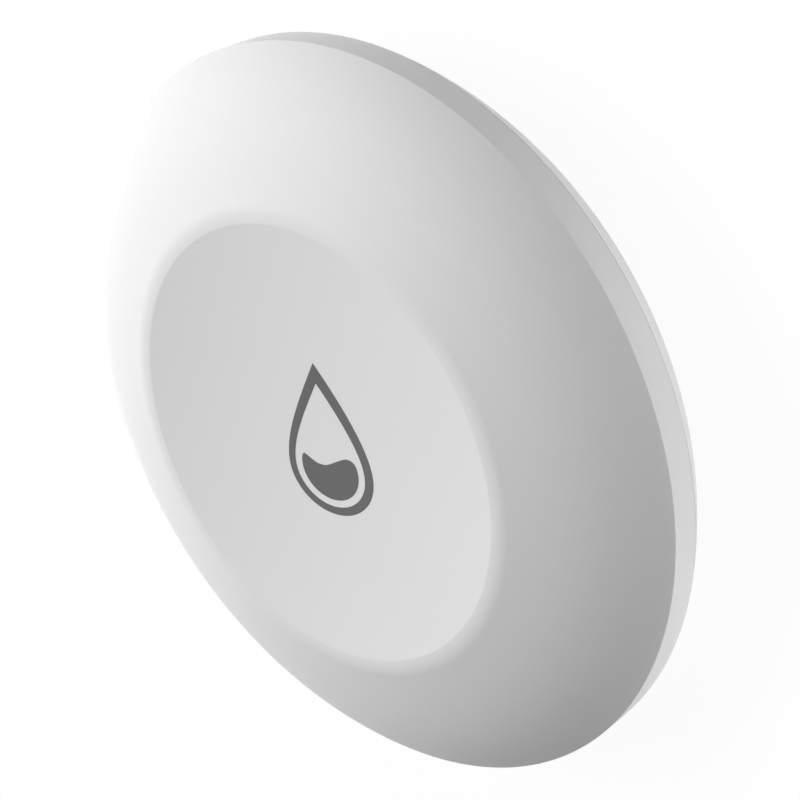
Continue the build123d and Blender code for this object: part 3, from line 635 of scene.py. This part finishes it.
# Floor, light and camera
studio = dict(floorSize=4000.0, floorColour=0.9, whiteShare=0.95)  # whiteShare is plain white where seen
lamps = {
    "key": dict(azimuth=150, elevation=45, distance=600, size=420, level=1.0),
    "high": dict(azimuth=150, elevation=65, distance=600, size=420, level=0.255),
    "keyLeft": dict(azimuth=180, elevation=25, distance=600, size=420, level=0.213),
    "nearFront": dict(azimuth=0, elevation=12, distance=130, size=50, level=0.189),
    "below": dict(azimuth=-60, elevation=-60, distance=600, size=420, level=0.22),
}
# panels just above the floor that face it, so that it throws light up at the rim
panels = {
    "panelRight": dict(azimuth=-30, away=60, height=9, size=36, level=0.59),
    "panelFront": dict(azimuth=15, away=60, height=9, size=36, level=0.19),
    "panelBack": dict(azimuth=30, away=60, height=9, size=36, level=0.313),
}
photo = dict(aim=(0.464, 0.090, 5.446), azimuth=31.14, elevation=38.61, roll=-119.45, distance=227.3,
             lens=142.47, sensor=36, clip=(5, 10000))


def direction(azimuth, elevation):
    # the unit vector (cos a cos e, sin a cos e, sin e)
    a, e = math.radians(azimuth), math.radians(elevation)
    return np.array([math.cos(a) * math.cos(e), math.sin(a) * math.cos(e), math.sin(e)])


def seenRay(tree):
    # 1 for a ray from the camera, a reflection or clear plastic, 0 for a ray that gathers light
    path = tree.nodes.new("ShaderNodeLightPath")
    made = path.outputs["Is Camera Ray"]
    for kind in ("Is Glossy Ray", "Is Transmission Ray"):
        either = tree.nodes.new("ShaderNodeMath")
        either.operation = "MAXIMUM"
        tree.links.new(made, either.inputs[0])
        tree.links.new(path.outputs[kind], either.inputs[1])
        made = either.outputs[0]
    return made


def makeFloor():
    half = studio["floorSize"] * mm / 2
    corners = [(-half, -half, 0), (half, -half, 0), (half, half, 0), (-half, half, 0)]
    mesh = bpy.data.meshes.new("floor")
    mesh.from_pydata(corners, [], [(0, 1, 2, 3)])
    floor = bpy.data.objects.new("floor", mesh)
    bpy.context.scene.collection.objects.link(floor)
    material = bpy.data.materials.new("floor")
    material.use_nodes = True
    tree = material.node_tree
    tree.nodes.clear()
    out = tree.nodes.new("ShaderNodeOutputMaterial")
    plain = tree.nodes.new("ShaderNodeBsdfDiffuse")
    plain.inputs["Color"].default_value = (*(studio["floorColour"],) * 3, 1)
    white = tree.nodes.new("ShaderNodeEmission")
    white.inputs["Strength"].default_value = 1
    share = tree.nodes.new("ShaderNodeMath")
    share.operation = "MULTIPLY"
    share.inputs[1].default_value = studio["whiteShare"]
    tree.links.new(seenRay(tree), share.inputs[0])
    mix = tree.nodes.new("ShaderNodeMixShader")
    tree.links.new(share.outputs[0], mix.inputs[0])
    tree.links.new(plain.outputs[0], mix.inputs[1])
    tree.links.new(white.outputs[0], mix.inputs[2])
    # from below the floor is clear, so that the underside shows
    face = tree.nodes.new("ShaderNodeNewGeometry")
    clear = tree.nodes.new("ShaderNodeBsdfTransparent")
    sides = tree.nodes.new("ShaderNodeMixShader")
    tree.links.new(face.outputs["Backfacing"], sides.inputs[0])
    tree.links.new(mix.outputs[0], sides.inputs[1])
    tree.links.new(clear.outputs[0], sides.inputs[2])
    tree.links.new(sides.outputs[0], out.inputs["Surface"])
    mesh.materials.append(material)
    floor.visible_shadow = False  # lets the lamp below it reach the underside


def areaLight(name, size, reach, level):
    # at this energy a white card, the reach away and facing the light, renders at the level
    light = bpy.data.lights.new(name, "AREA")
    light.size = size * mm
    light.energy = level * math.pi**2 * (reach * mm) ** 2
    holder = bpy.data.objects.new(name, light)
    holder.visible_camera = False
    bpy.context.scene.collection.objects.link(holder)
    return holder


def makeLamp(name, lamp):
    # faces the origin
    holder = areaLight(name, lamp["size"], lamp["distance"], lamp["level"])
    away = direction(lamp["azimuth"], lamp["elevation"])
    holder.location = away * lamp["distance"] * mm
    holder.rotation_mode = "QUATERNION"
    holder.rotation_quaternion = Vector(away).to_track_quat("Z", "Y")


def makePanel(name, panel):
    # faces straight down
    holder = areaLight(name, panel["size"], panel["size"], panel["level"])
    holder.location = direction(panel["azimuth"], 0) * panel["away"] * mm
    holder.location.z = panel["height"] * mm


def makeWorld():
    # white to a ray that sees it and dark to one that gathers light
    world = bpy.data.worlds.new("studio")
    world.use_nodes = True
    bpy.context.scene.world = world
    tree = world.node_tree
    back = tree.nodes["Background"]
    back.inputs["Color"].default_value = (1, 1, 1, 1)
    tree.links.new(seenRay(tree), back.inputs["Strength"])


def makeCamera():
    # its right is cos(roll) level + sin(roll) upright, both at right angles to the line of sight
    back = direction(photo["azimuth"], photo["elevation"])
    level = np.array([-back[1], back[0], 0]) / math.hypot(back[0], back[1])
    upright = np.cross(back, level)
    roll = math.radians(photo["roll"])
    right = math.cos(roll) * level + math.sin(roll) * upright
    up = np.cross(back, right)
    lens = bpy.data.cameras.new("camera")
    lens.sensor_width = photo["sensor"]
    lens.lens = photo["lens"]
    lens.clip_start = photo["clip"][0] * mm
    lens.clip_end = photo["clip"][1] * mm
    camera = bpy.data.objects.new("camera", lens)
    place = (np.array(photo["aim"]) + back * photo["distance"]) * mm
    columns = np.column_stack([right, up, back, place])
    camera.matrix_world = Matrix(np.vstack([columns, [0, 0, 0, 1]]).tolist())
    bpy.context.scene.collection.objects.link(camera)
    bpy.context.scene.camera = camera


makeFloor()
makeWorld()
for lampName, lamp in lamps.items():
    makeLamp(lampName, lamp)
for panelName, panel in panels.items():
    makePanel(panelName, panel)
makeCamera()
bpy.context.scene.view_settings.view_transform = "Standard"
print("studio made")
